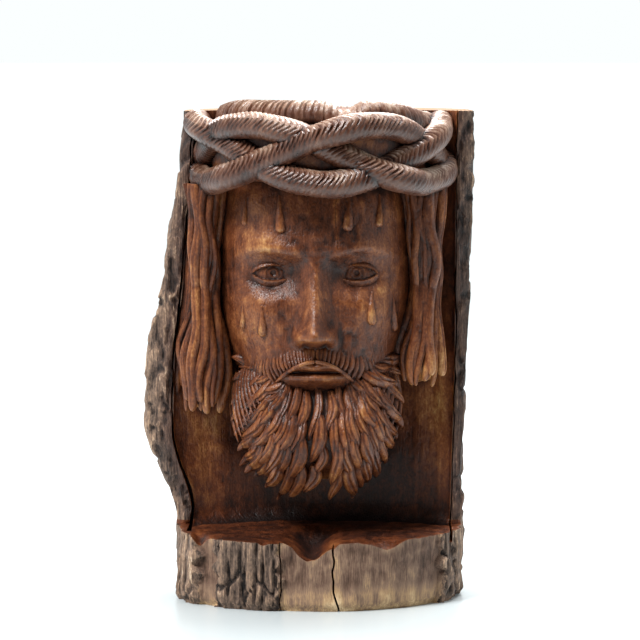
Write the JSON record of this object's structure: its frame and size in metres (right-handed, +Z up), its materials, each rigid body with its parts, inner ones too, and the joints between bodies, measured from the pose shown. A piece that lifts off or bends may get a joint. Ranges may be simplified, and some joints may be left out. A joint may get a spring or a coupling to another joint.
{
  "type": "christ statue",
  "caption": "Bearded head under a braided crown, carved in relief in a niche cut into an upright log that keeps its bark at the sides and back and a solid foot.",
  "frame": {"origin": "middle of the log's flat underside, where its axis meets the surface it stands on", "axes": "+Z up along the log, -Y the carved front, +X to the right seen from the front"},
  "size_m": [0.2057, 0.1769, 0.3072],
  "materials": {
    "stained_wood": "dark red-brown stain under satin varnish on the carving, rough grey-brown bark and bare wood on the log"
  },
  "bodies": {
    "root": {"carved_log": "stained_wood"}
  },
  "joints": []
}
